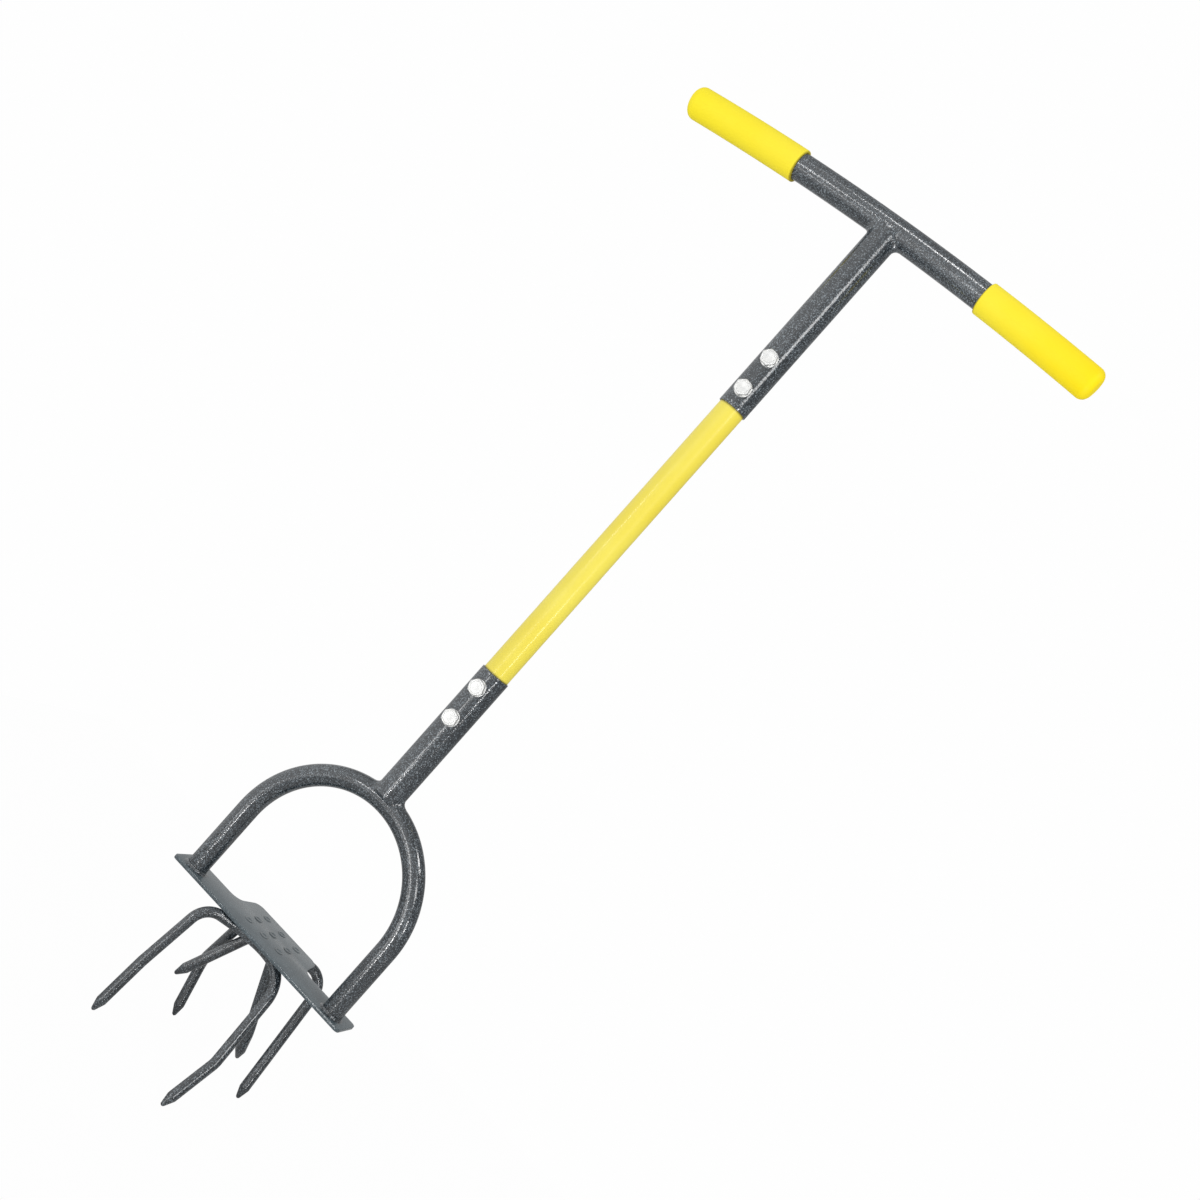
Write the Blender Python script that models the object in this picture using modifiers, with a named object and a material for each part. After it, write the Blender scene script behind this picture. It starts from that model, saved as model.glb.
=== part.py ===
# Hand twist tiller: a T-handled stem, a foot plate under an arch, and three bent rods with six tines.
# Metres, +Z up the stem. The origin is the middle of the foot plate's top face, on the stem's axis.
# +X runs along the crossbar and the plate, and -Y is the side of the bolt heads.

import math

import bmesh
import bpy
from mathutils import Matrix, Vector

# Room left between two pieces that touch, and how far a cutter runs past what it cuts
CLEARANCE = 0.0003
CUTTER_OVERRUN = 0.010

# Crossbar and grips
BAR_DIAMETER = 0.024
BAR_WALL = 0.0016
BAR_LENGTH = 0.414
BAR_BOW_RADIUS = 2.56
GRIP_DIAMETER = 0.029
GRIP_INNER_END = 0.0962
GRIP_END_WALL = 0.0035
GRIP_END_ROUNDING = 0.0075
GRIP_MOUTH_ROUNDING = 0.0012
GRIP_ROUNDING_STEPS = 5

# Stem: two sockets bolted onto one middle tube
SOCKET_DIAMETER = 0.0266
SOCKET_WALL = 0.001
TUBE_WALL = 0.0014
TUBE_INSERT = 0.064
LOWER_SOCKET_LENGTH = 0.1365
TUBE_VISIBLE = 0.2893
UPPER_SOCKET_LENGTH = 0.1968
SOCKET_COPE_RISE = 0.005

# Bolts through the stem
BOLT_SHANK_DIAMETER = 0.008
BOLT_HEAD_FLATS = 0.013
BOLT_HEAD_HEIGHT = 0.0053
BOLT_HEAD_CHAMFER = 0.0006
BOLT_EDGE_DISTANCE = 0.0163
BOLT_PITCH = 0.032
NUT_HEIGHT = 0.0065
BOLT_END_STICKOUT = 0.0035
BOLT_HOLE_PLAY = 0.0003

# Arch over the foot space
ARCH_DIAMETER = 0.0186
ARCH_WALL = 0.0015
ARCH_HEIGHT = 0.1486

# Foot plate
PLATE_THICKNESS = 0.0032
PLATE_HALF_LENGTH = 0.101
PLATE_FRONT = 0.0135
PLATE_BACK = 0.022
PLATE_BEYOND_ARCH = 0.017
TREAD_CENTRE_X = -0.0036
TREAD_BACK = 0.0555
TREAD_FOOT_HALF_WIDTH = 0.0425
TREAD_TOP_HALF_WIDTH = 0.0375
PLATE_CORNER_ROUNDING = 0.004
TREAD_FOOT_ROUNDING = 0.011
TREAD_CORNER_ROUNDING = 0.009
DIMPLE_DIAMETER = 0.0084
DIMPLE_HEIGHT = 0.001
DIMPLE_PITCH_X = 0.0185
DIMPLE_PITCH_Y = 0.0172
DIMPLE_CENTRE_Y = 0.0258

# Tine rods
ROD_DIAMETER = 0.009
TINE_POINT_LENGTH = 0.0125
TINE_POINT_DIAMETER = 0.0022
TINE_SHOULDER_DIAMETER = 0.0052
TINE_SHOULDER_LENGTH = 0.0035
TINE_DEPTH = 0.120
ROD_BEND_RADIUS = 0.018
ROD_SWEEP_RADIUS = 0.030
ROD_KINK_RADIUS = 0.018

# Weld beads
TUBE_WELD_WIDTH = 0.0024
TUBE_WELD_TOE_WIDTH = 0.001
TUBE_WELD_DEPTH = 0.0035
TUBE_WELD_START = 0.001
FOOT_WELD_WIDTH = 0.0034
FOOT_WELD_HEIGHT = 0.0048
WELD_SEAT_HEIGHT = 0.0003
WELD_SEAT_MARGIN = 0.0003
ROD_WELD_RADIUS = 0.0030
ROD_WELD_LENGTH = 0.016
ROD_WELD_OFFSET = 0.0008
ROD_WELD_DROP = 0.0018
ROD_WELD_END_SHARE = 0.35

# Fineness of the round pieces
TUBE_SIDES = 32
ROD_SIDES = 16
BOLT_SIDES = 16
DIMPLE_SIDES = 14
BEAD_SIDES = 8

COLORS = {
    "yellow_grip": (0.955, 0.800, 0.030, 1.0),
    "yellow_coat": (0.930, 0.760, 0.090, 1.0),
    "slate_paint": (0.070, 0.080, 0.090, 1.0),
    "plate_paint": (0.170, 0.200, 0.215, 1.0),
    "weld_paint": (0.055, 0.062, 0.070, 1.0),
    "zinc": (0.780, 0.780, 0.770, 1.0),
}

# Heights, spans and radii that follow from the driving dimensions
ARCH_HALF_SPAN = PLATE_HALF_LENGTH - PLATE_BEYOND_ARCH
BAR_RADIUS = BAR_DIAMETER / 2
SOCKET_RADIUS = SOCKET_DIAMETER / 2
SOCKET_BORE = SOCKET_RADIUS - SOCKET_WALL
TUBE_RADIUS = SOCKET_BORE - CLEARANCE
ARCH_RADIUS = ARCH_DIAMETER / 2
ROD_RADIUS = ROD_DIAMETER / 2
LOWER_SOCKET_TOP = ARCH_HEIGHT + LOWER_SOCKET_LENGTH
UPPER_SOCKET_BOTTOM = LOWER_SOCKET_TOP + TUBE_VISIBLE
BAR_HEIGHT = UPPER_SOCKET_BOTTOM + UPPER_SOCKET_LENGTH
ROD_HEIGHT = -PLATE_THICKNESS - CLEARANCE - ROD_RADIUS
BOLT_HEIGHTS = {
    "lower_bottom": LOWER_SOCKET_TOP - BOLT_EDGE_DISTANCE - BOLT_PITCH,
    "lower_top": LOWER_SOCKET_TOP - BOLT_EDGE_DISTANCE,
    "upper_bottom": UPPER_SOCKET_BOTTOM + BOLT_EDGE_DISTANCE,
    "upper_top": UPPER_SOCKET_BOTTOM + BOLT_EDGE_DISTANCE + BOLT_PITCH,
}


def clear_scene():
    for scene_object in list(bpy.data.objects):
        bpy.data.objects.remove(scene_object, do_unlink=True)


def new_collection(name):
    collection = bpy.data.collections.new(name)
    bpy.context.scene.collection.children.link(collection)
    return collection


def make_material(name, color, roughness, metallic):
    material = bpy.data.materials.new(name)
    material.use_nodes = True
    material.diffuse_color = color
    shader = material.node_tree.nodes["Principled BSDF"]
    shader.inputs["Base Color"].default_value = color
    shader.inputs["Roughness"].default_value = roughness
    shader.inputs["Metallic"].default_value = metallic
    return material


def add_object(name, mesh, collection):
    new_object = bpy.data.objects.new(name, mesh)
    collection.objects.link(new_object)
    return new_object


def finish(piece, color, roughness, metallic=0.0, sharp_angle=35.0):
    """Gives a piece its own material and smooth shading on its round faces."""
    piece.data.materials.clear()
    piece.data.materials.append(make_material(piece.name, COLORS[color], roughness, metallic))
    piece.data.shade_smooth()
    piece.data.set_sharp_from_angle(angle=math.radians(sharp_angle))
    return piece


def evaluated_mesh(source):
    """Returns the mesh an object shows with its modifiers, its loose caps welded on."""
    bpy.context.view_layer.update()
    depsgraph = bpy.context.evaluated_depsgraph_get()
    mesh = bpy.data.meshes.new_from_object(source.evaluated_get(depsgraph), depsgraph=depsgraph)
    shape = bmesh.new()
    shape.from_mesh(mesh)
    bmesh.ops.remove_doubles(shape, verts=shape.verts, dist=0.000005)
    shape.to_mesh(mesh)
    shape.free()
    return mesh


def as_mesh_object(source, collection):
    """Turns a curve, or an object with modifiers, into a plain mesh object of the same name."""
    name = source.name
    mesh = evaluated_mesh(source)
    matrix = source.matrix_world.copy()
    bpy.data.objects.remove(source, do_unlink=True)
    result = add_object(name, mesh, collection)
    result.matrix_world = matrix
    return result


def turned(name, profile, collection, sides=TUBE_SIDES, closed=True):
    """Turns a profile of (radius, height) points about Z. The outer side runs from top to bottom."""
    shape = bmesh.new()
    verts = [shape.verts.new((radius, 0.0, height)) for radius, height in profile]
    for first, second in zip(verts, verts[1:]):
        shape.edges.new((first, second))
    if closed:
        shape.edges.new((verts[-1], verts[0]))
    mesh = bpy.data.meshes.new(name)
    shape.to_mesh(mesh)
    shape.free()
    piece = add_object(name, mesh, collection)
    screw = piece.modifiers.new("Turn", "SCREW")
    screw.steps = sides
    screw.render_steps = sides
    screw.use_merge_vertices = True
    screw.merge_threshold = 0.00001
    return as_mesh_object(piece, collection)


def cylinder(name, radius, start, end, collection, sides=TUBE_SIDES, end_radius=None, turn=0.0):
    """A solid cylinder or cone from one point to another, turned by an angle about its axis."""
    start = Vector(start)
    end = Vector(end)
    axis = end - start
    facing = axis.to_track_quat("Z", "Y").to_matrix().to_4x4() @ Matrix.Rotation(turn, 4, "Z")
    shape = bmesh.new()
    bmesh.ops.create_cone(
        shape,
        cap_ends=True,
        segments=sides,
        radius1=radius,
        radius2=radius if end_radius is None else end_radius,
        depth=axis.length,
        matrix=Matrix.Translation((start + end) / 2) @ facing,
    )
    mesh = bpy.data.meshes.new(name)
    shape.to_mesh(mesh)
    shape.free()
    return add_object(name, mesh, collection)


def boolean(piece, operand, operation="DIFFERENCE"):
    modifier = piece.modifiers.new(operation.title(), "BOOLEAN")
    modifier.operation = operation
    modifier.object = operand
    modifier.solver = "EXACT"
    return modifier


def as_cutter(cutter):
    cutter.hide_render = True
    cutter.display_type = "WIRE"
    return cutter


def rounded_path(corners, radii, steps=6):
    """A path through corner points, each inner corner replaced by an arc of its radius."""
    points = [Vector(corners[0])]
    for index in range(1, len(corners) - 1):
        corner = Vector(corners[index])
        back = (Vector(corners[index - 1]) - corner).normalized()
        ahead = (Vector(corners[index + 1]) - corner).normalized()
        half_angle = back.angle(ahead) / 2
        radius = radii[index - 1]
        centre = corner + (back + ahead).normalized() * radius / math.sin(half_angle)
        start = corner + back * radius / math.tan(half_angle)
        end = corner + ahead * radius / math.tan(half_angle)
        sweep = (start - centre).angle(end - centre)
        count = max(2, round(steps * sweep / (math.pi / 2)))
        for step in range(count + 1):
            share = step / count
            near = math.sin((1 - share) * sweep) / math.sin(sweep)
            far = math.sin(share * sweep) / math.sin(sweep)
            points.append(centre + (start - centre) * near + (end - centre) * far)
    points.append(Vector(corners[-1]))
    return points


def rounded_loop(corners, radii, steps=4):
    """A closed outline, each corner replaced by an arc of its radius."""
    points = []
    count = len(corners)
    for index in range(count):
        trio = [corners[index - 1], corners[index], corners[(index + 1) % count]]
        points.extend(rounded_path(trio, [radii[index]], steps)[1:-1])
    return points


def rod_curve(name, points, radius, collection, sides, shares=None, capped=True):
    """A round bar along a path. The shares thin it at single points."""
    curve = bpy.data.curves.new(name, "CURVE")
    curve.dimensions = "3D"
    curve.bevel_depth = radius
    curve.bevel_resolution = sides // 4 - 2 if sides >= 8 else 0
    curve.use_fill_caps = capped
    curve.twist_mode = "MINIMUM"
    spline = curve.splines.new("POLY")
    spline.points.add(len(points) - 1)
    for index, point in enumerate(points):
        spline.points[index].co = (*point, 1.0)
        spline.points[index].radius = 1.0 if shares is None else shares[index]
    piece = bpy.data.objects.new(name, curve)
    collection.objects.link(piece)
    return as_mesh_object(piece, collection)


def bow_point(x, y, height):
    """Bends a straight crossbar point onto the bar's large arc, which is highest over the stem."""
    angle = x / BAR_BOW_RADIUS
    reach = BAR_BOW_RADIUS + height
    return Vector((reach * math.sin(angle), y, BAR_HEIGHT + reach * math.cos(angle) - BAR_BOW_RADIUS))


def lay_along_bar(piece, side=1):
    """Lays a piece turned about Z along the crossbar, then bends it with the bar."""
    for vert in piece.data.vertices:
        across, up, along = vert.co.x, vert.co.y, vert.co.z
        vert.co = bow_point(side * along, side * across, up)
    piece.data.update()
    return piece


def lengthwise(start, end, count):
    return [start + (end - start) * step / count for step in range(count + 1)]


def build_crossbar(parts):
    half = BAR_LENGTH / 2
    stations = lengthwise(-half, half, 16)
    inner = BAR_RADIUS - BAR_WALL
    profile = [(BAR_RADIUS, z) for z in reversed(stations)]
    profile += [(inner, z) for z in stations]
    bar = lay_along_bar(turned("crossbar", profile, parts))
    return finish(bar, "slate_paint", 0.45, 0.2)


def build_grip(parts, name, side):
    """A closed sleeve over one end of the crossbar."""
    outer = GRIP_DIAMETER / 2
    bore = BAR_RADIUS + CLEARANCE
    floor = BAR_LENGTH / 2 + CLEARANCE
    end = floor + GRIP_END_WALL
    profile = [(0.0, end)]
    for step in range(GRIP_ROUNDING_STEPS + 1):
        angle = math.pi / 2 * (1 - step / GRIP_ROUNDING_STEPS)
        radius = outer - GRIP_END_ROUNDING * (1 - math.cos(angle))
        profile.append((radius, end - GRIP_END_ROUNDING * (1 - math.sin(angle))))
    sleeve_start = end - GRIP_END_ROUNDING
    sleeve_end = GRIP_INNER_END + GRIP_MOUTH_ROUNDING
    profile += [(outer, z) for z in lengthwise(sleeve_start, sleeve_end, 5)[1:]]
    profile.append((outer - GRIP_MOUTH_ROUNDING, GRIP_INNER_END))
    profile += [(bore, z) for z in lengthwise(GRIP_INNER_END, floor, 5)]
    profile.append((0.0, floor))
    grip = lay_along_bar(turned(name, profile, parts, closed=False), side)
    return finish(grip, "yellow_grip", 0.55)


def tube_profile(radius, wall, bottom, top):
    return [(radius, top), (radius, bottom), (radius - wall, bottom), (radius - wall, top)]


def bolt_hole_cutters(cutters, where):
    """One long cutter through the stem for each bolt of a socket.

    It is turned by half a side, so that none of its edges meets an edge of the tubes.
    """
    reach = SOCKET_RADIUS + CUTTER_OVERRUN
    radius = BOLT_SHANK_DIAMETER / 2 + BOLT_HOLE_PLAY
    holes = []
    for name, height in BOLT_HEIGHTS.items():
        if name.startswith(where):
            start = (0, -reach, height)
            end = (0, reach, height)
            half_side = math.pi / BOLT_SIDES
            hole = cylinder("hole_" + name, radius, start, end, cutters, BOLT_SIDES, turn=half_side)
            holes.append(as_cutter(hole))
    return holes


def arch_points():
    """The arch's centre line: two straight legs and a half circle."""
    rise = ARCH_HEIGHT - ARCH_HALF_SPAN
    foot = WELD_SEAT_HEIGHT + CLEARANCE
    points = [Vector((-ARCH_HALF_SPAN, 0, foot))]
    steps = 24
    for step in range(steps + 1):
        angle = math.pi * (1 - step / steps)
        across = ARCH_HALF_SPAN * math.cos(angle)
        points.append(Vector((across, 0, rise + ARCH_HALF_SPAN * math.sin(angle))))
    points.append(Vector((ARCH_HALF_SPAN, 0, foot)))
    return points


def build_arch(parts):
    arch = rod_curve("arch", arch_points(), ARCH_RADIUS, parts, 28, capped=False)
    wall = arch.modifiers.new("Wall", "SOLIDIFY")
    wall.thickness = ARCH_WALL
    wall.offset = -1.0
    wall.use_rim = True
    return finish(arch, "slate_paint", 0.45, 0.2)


def build_stem(parts, cutters, bar_room, arch_room):
    """Both sockets, the middle tube between them, and their bolt holes."""
    lower_end = ARCH_HEIGHT + SOCKET_COPE_RISE
    lower = turned(
        "lower_socket",
        tube_profile(SOCKET_RADIUS, SOCKET_WALL, lower_end, LOWER_SOCKET_TOP),
        parts,
    )
    boolean(lower, arch_room)
    upper_end = BAR_HEIGHT - SOCKET_COPE_RISE
    upper = turned(
        "upper_socket",
        tube_profile(SOCKET_RADIUS, SOCKET_WALL, UPPER_SOCKET_BOTTOM, upper_end),
        parts,
    )
    boolean(upper, bar_room)
    tube_start = LOWER_SOCKET_TOP - TUBE_INSERT
    tube_end = UPPER_SOCKET_BOTTOM + TUBE_INSERT
    tube = turned("middle_tube", tube_profile(TUBE_RADIUS, TUBE_WALL, tube_start, tube_end), parts)
    for where, socket in (("lower", lower), ("upper", upper)):
        for hole in bolt_hole_cutters(cutters, where):
            boolean(socket, hole)
            boolean(tube, hole)
    finish(lower, "slate_paint", 0.45, 0.2)
    finish(upper, "slate_paint", 0.45, 0.2)
    finish(tube, "yellow_coat", 0.25)


def hexagon(name, flats, height, centre, collection):
    """A hexagonal block along Y with two flats facing up and down the stem."""
    start = Vector(centre) - Vector((0, height / 2, 0))
    end = Vector(centre) + Vector((0, height / 2, 0))
    radius = flats / math.sqrt(3)
    return cylinder(name, radius, start, end, collection, sides=6)


def build_bolt(parts, cutters, name, height):
    """A hexagon bolt from the front with a plain shank through the stem."""
    seat = SOCKET_RADIUS + CLEARANCE
    head_end = seat + BOLT_HEAD_HEIGHT
    shank_end = seat + NUT_HEIGHT + BOLT_END_STICKOUT
    radius = BOLT_SHANK_DIAMETER / 2
    head_centre = (0, -(seat + head_end) / 2, height)
    bolt = hexagon("bolt_" + name, BOLT_HEAD_FLATS, BOLT_HEAD_HEIGHT, head_centre, parts)
    chamfer = bolt.modifiers.new("Chamfer", "BEVEL")
    chamfer.width = BOLT_HEAD_CHAMFER
    chamfer.segments = 1
    start = (0, head_centre[1], height)
    end = (0, shank_end, height)
    shank = cylinder("shank_" + name, radius, start, end, cutters, BOLT_SIDES)
    boolean(bolt, as_cutter(shank), "UNION")
    return finish(bolt, "zinc", 0.3, 0.9)


def build_nut(parts, cutters, name, height):
    """The nut on the back of the stem that holds one bolt."""
    seat = SOCKET_RADIUS + CLEARANCE
    centre = (0, seat + NUT_HEIGHT / 2, height)
    nut = hexagon("nut_" + name, BOLT_HEAD_FLATS, NUT_HEIGHT, centre, parts)
    bore = BOLT_SHANK_DIAMETER / 2 + CLEARANCE
    start = (0, 0, height)
    end = (0, seat + NUT_HEIGHT + CUTTER_OVERRUN, height)
    boolean(nut, as_cutter(cylinder("nut_bore_" + name, bore, start, end, cutters, BOLT_SIDES)))
    return finish(nut, "zinc", 0.35, 0.9)


def build_tube_weld(parts, cutters, name, joint, away, room):
    """A collar of weld where a socket meets the tube that it is coped around.

    The joint is the crossing tube's height, and away is the way along the stem to the socket.
    """
    wide = SOCKET_RADIUS + TUBE_WELD_WIDTH
    narrow = SOCKET_RADIUS + TUBE_WELD_TOE_WIDTH
    near = (0, 0, joint + away * TUBE_WELD_START)
    far = (0, 0, joint + away * (room + TUBE_WELD_DEPTH))
    weld = cylinder(name, wide, near, far, parts, TUBE_SIDES, end_radius=narrow)
    socket_room = cylinder(
        name + "_socket_room",
        SOCKET_RADIUS + CLEARANCE,
        (0, 0, joint + away * (SOCKET_COPE_RISE - CLEARANCE)),
        (0, 0, joint + away * (room + TUBE_WELD_DEPTH + CUTTER_OVERRUN)),
        cutters,
    )
    boolean(weld, as_cutter(socket_room))
    return weld


def build_foot_weld(parts, name, across):
    """A ring of weld with a hollow face around one foot of the arch."""
    inner = ARCH_RADIUS + CLEARANCE
    foot = WELD_SEAT_HEIGHT + CLEARANCE
    profile = []
    steps = 4
    for step in range(steps + 1):
        angle = math.pi / 2 * step / steps
        radius = inner + FOOT_WELD_WIDTH * (1 - math.cos(angle))
        profile.append((radius, foot + FOOT_WELD_HEIGHT * (1 - math.sin(angle))))
    profile.append((inner, foot))
    weld = turned(name, profile, parts)
    weld.location.x = across
    return finish(weld, "weld_paint", 0.6, 0.2)


def plate_outline():
    """Corners of the plate: straight in front, with the wider tread behind, left of the stem."""
    half = PLATE_HALF_LENGTH
    centre = TREAD_CENTRE_X
    corners = [
        (-half, -PLATE_FRONT, 0),
        (half, -PLATE_FRONT, 0),
        (half, PLATE_BACK, 0),
        (centre + TREAD_FOOT_HALF_WIDTH, PLATE_BACK, 0),
        (centre + TREAD_TOP_HALF_WIDTH, TREAD_BACK, 0),
        (centre - TREAD_TOP_HALF_WIDTH, TREAD_BACK, 0),
        (centre - TREAD_FOOT_HALF_WIDTH, PLATE_BACK, 0),
        (-half, PLATE_BACK, 0),
    ]
    end = PLATE_CORNER_ROUNDING
    foot = TREAD_FOOT_ROUNDING
    tread = TREAD_CORNER_ROUNDING
    return rounded_loop(corners, [end, end, end, foot, tread, tread, foot, end])


def build_plate_marks(cutters):
    """The nine dimples, and a low seat under each ring of weld, all sunk a little into the plate."""
    mesh = bpy.data.meshes.new("plate_marks")
    shape = bmesh.new()
    sunk = PLATE_THICKNESS / 4
    dimple_low = DIMPLE_DIAMETER / 2 + sunk
    dimple_high = DIMPLE_DIAMETER / 2 - DIMPLE_HEIGHT
    seat_radius = ARCH_RADIUS + CLEARANCE + FOOT_WELD_WIDTH + WELD_SEAT_MARGIN
    marks = []
    for row in (-1, 0, 1):
        for column in (-1, 0, 1):
            x = TREAD_CENTRE_X + row * DIMPLE_PITCH_X
            y = DIMPLE_CENTRE_Y + column * DIMPLE_PITCH_Y
            marks.append((x, y, dimple_low, dimple_high, DIMPLE_HEIGHT, DIMPLE_SIDES))
    for x in (-ARCH_HALF_SPAN, ARCH_HALF_SPAN):
        marks.append((x, 0, seat_radius, seat_radius, WELD_SEAT_HEIGHT, TUBE_SIDES))
    for x, y, low_radius, high_radius, height, sides in marks:
        bmesh.ops.create_cone(
            shape,
            cap_ends=True,
            segments=sides,
            radius1=low_radius,
            radius2=high_radius,
            depth=height + sunk,
            matrix=Matrix.Translation((x, y, (height - sunk) / 2)),
        )
    shape.to_mesh(mesh)
    shape.free()
    return add_object("plate_marks", mesh, cutters)


def build_plate(parts, cutters):
    curve = bpy.data.curves.new("foot_plate", "CURVE")
    curve.dimensions = "2D"
    curve.fill_mode = "BOTH"
    curve.extrude = PLATE_THICKNESS / 2
    outline = plate_outline()
    spline = curve.splines.new("POLY")
    spline.points.add(len(outline) - 1)
    for index, point in enumerate(outline):
        spline.points[index].co = (point.x, point.y, 0.0, 1.0)
    spline.use_cyclic_u = True
    flat = bpy.data.objects.new("foot_plate", curve)
    flat.location.z = -PLATE_THICKNESS / 2
    parts.objects.link(flat)
    plate = as_mesh_object(flat, parts)
    boolean(plate, as_cutter(build_plate_marks(cutters)), "UNION")
    return finish(plate, "plate_paint", 0.5, 0.2)


# Each rod runs under the plate and comes down in a tine at both ends. The bends and the welded run
# lie level under the plate, and the kinks, where a tine has one, and the tips are below it.
FRONT_ROD = {
    "left_tip": (-0.0512, -0.0478, -TINE_DEPTH),
    "left_kink": [(-0.0518, -0.0346, -0.0706)],
    "left_radius": ROD_BEND_RADIUS,
    "left_bend": [(-0.0479, -0.0194)],
    "welded_run": [(-0.0201, 0.0009), (0.0043, 0.0080)],
    "right_bend": [(0.0373, -0.0016)],
    "right_radius": ROD_SWEEP_RADIUS,
    "right_kink": [(0.0498, -0.0355, -0.0804)],
    "right_tip": (0.0481, -0.0637, -TINE_DEPTH),
}
MIDDLE_ROD = {
    "left_tip": (-0.0330, 0.0580, -TINE_DEPTH),
    "left_kink": [(-0.0493, 0.0666, -0.0712)],
    "left_radius": ROD_BEND_RADIUS,
    "left_bend": [],
    "welded_run": [(-0.0310, 0.0300), (0.0052, 0.0300)],
    "right_bend": [],
    "right_radius": ROD_BEND_RADIUS,
    "right_kink": [(0.0313, 0.0445, -0.0770)],
    "right_tip": (0.0340, 0.0580, -0.1035),
}
BACK_ROD = {
    "left_tip": (-0.0472, 0.0287, -0.0834),
    "left_kink": [],
    "left_radius": ROD_BEND_RADIUS,
    "left_bend": [],
    "welded_run": [(-0.0182, 0.0495), (0.0100, 0.0495)],
    "right_bend": [(0.0424, 0.0753)],
    "right_radius": ROD_BEND_RADIUS,
    "right_kink": [],
    "right_tip": (0.0607, 0.0445, -TINE_DEPTH),
}


def rod_corners(rod):
    """The rod's corner points from tip to tip, with the bend radius at each inner corner."""
    level = rod["left_bend"] + rod["welded_run"] + rod["right_bend"]
    corners = [rod["left_tip"], *rod["left_kink"]]
    corners += [(x, y, ROD_HEIGHT) for x, y in level]
    corners += [*rod["right_kink"], rod["right_tip"]]
    radii = [ROD_KINK_RADIUS] * len(rod["left_kink"]) + [rod["left_radius"]]
    radii += [ROD_SWEEP_RADIUS] * (len(level) - 2)
    radii += [rod["right_radius"]] + [ROD_KINK_RADIUS] * len(rod["right_kink"])
    return corners, radii


def build_rod(parts, name, rod, extra=0.0):
    """A bent rod with a point at both ends. Extra thickens it for a cutter."""
    corners, radii = rod_corners(rod)
    points = rounded_path(corners, radii, steps=6)
    into_first = (points[1] - points[0]).normalized()
    into_last = (points[-2] - points[-1]).normalized()
    steps = (0.0, TINE_SHOULDER_LENGTH, TINE_POINT_LENGTH)
    taper = [TINE_POINT_DIAMETER / ROD_DIAMETER, TINE_SHOULDER_DIAMETER / ROD_DIAMETER, 1.0]
    first = [points[0] + into_first * step for step in steps]
    last = [points[-1] + into_last * step for step in reversed(steps)]
    path = [*first, *points[1:-1], *last]
    shares = taper + [1.0] * (len(points) - 2) + taper[::-1]
    return rod_curve(name, path, ROD_RADIUS + extra, parts, ROD_SIDES, shares)


def build_rod_weld(parts, name, rod, side, plate_room, rod_room):
    """A short bead in the corner between a rod's straight run and the plate's underside."""
    run_start, run_end = (Vector((*place, 0)) for place in rod["welded_run"])
    along = (run_end - run_start).normalized()
    centre = (run_start + run_end) / 2
    centre += Vector((-along.y, along.x, 0)) * side * (ROD_RADIUS + ROD_WELD_OFFSET)
    centre.z = -PLATE_THICKNESS - CLEARANCE - ROD_WELD_DROP
    points = []
    shares = []
    steps = 6
    for step in range(steps + 1):
        angle = math.pi * step / steps
        points.append(centre - along * ROD_WELD_LENGTH / 2 * math.cos(angle))
        shares.append(max(ROD_WELD_END_SHARE, math.sin(angle)))
    weld = rod_curve(name, points, ROD_WELD_RADIUS, parts, BEAD_SIDES, shares)
    boolean(weld, rod_room)
    boolean(weld, plate_room)
    return finish(weld, "weld_paint", 0.6, 0.2)


def build_tine_rods(parts, cutters):
    underside = (0, 0, -PLATE_THICKNESS - CLEARANCE)
    plate_room = cylinder("plate_room", PLATE_HALF_LENGTH, underside, (0, 0, 0), cutters)
    as_cutter(plate_room)
    rods = {"front": FRONT_ROD, "middle": MIDDLE_ROD, "back": BACK_ROD}
    for label, rod in rods.items():
        name = label + "_tine_rod"
        finish(build_rod(parts, name, rod), "slate_paint", 0.45, 0.2)
        rod_room = as_cutter(build_rod(cutters, name + "_room", rod, extra=CLEARANCE))
        for side, place in ((-1, "front"), (1, "back")):
            weld_name = label + "_rod_weld_" + place
            build_rod_weld(parts, weld_name, rod, side, plate_room, rod_room)


def build():
    clear_scene()
    parts = new_collection("twist_tiller")
    cutters = new_collection("cutters")
    span = SOCKET_RADIUS + CUTTER_OVERRUN
    sag = span ** 2 / (2 * BAR_BOW_RADIUS)
    room = BAR_RADIUS + CLEARANCE + sag
    bar_room = cylinder("bar_room", room, (-span, 0, BAR_HEIGHT), (span, 0, BAR_HEIGHT), cutters)
    as_cutter(bar_room)
    arch_room = as_cutter(rod_curve("arch_room", arch_points(), ARCH_RADIUS + CLEARANCE, cutters, 28))
    build_crossbar(parts)
    build_grip(parts, "left_grip", -1)
    build_grip(parts, "right_grip", 1)
    build_stem(parts, cutters, bar_room, arch_room)
    handle_weld = build_tube_weld(parts, cutters, "handle_weld", BAR_HEIGHT, -1, BAR_RADIUS)
    boolean(handle_weld, bar_room)
    finish(handle_weld, "weld_paint", 0.6, 0.2)
    arch_weld = build_tube_weld(parts, cutters, "arch_top_weld", ARCH_HEIGHT, 1, ARCH_RADIUS)
    boolean(arch_weld, arch_room)
    finish(arch_weld, "weld_paint", 0.6, 0.2)
    build_arch(parts)
    build_foot_weld(parts, "left_arch_weld", -ARCH_HALF_SPAN)
    build_foot_weld(parts, "right_arch_weld", ARCH_HALF_SPAN)
    build_plate(parts, cutters)
    build_tine_rods(parts, cutters)
    for name, height in BOLT_HEIGHTS.items():
        build_bolt(parts, cutters, name, height)
        build_nut(parts, cutters, name, height)


build()
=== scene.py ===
import math

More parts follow.
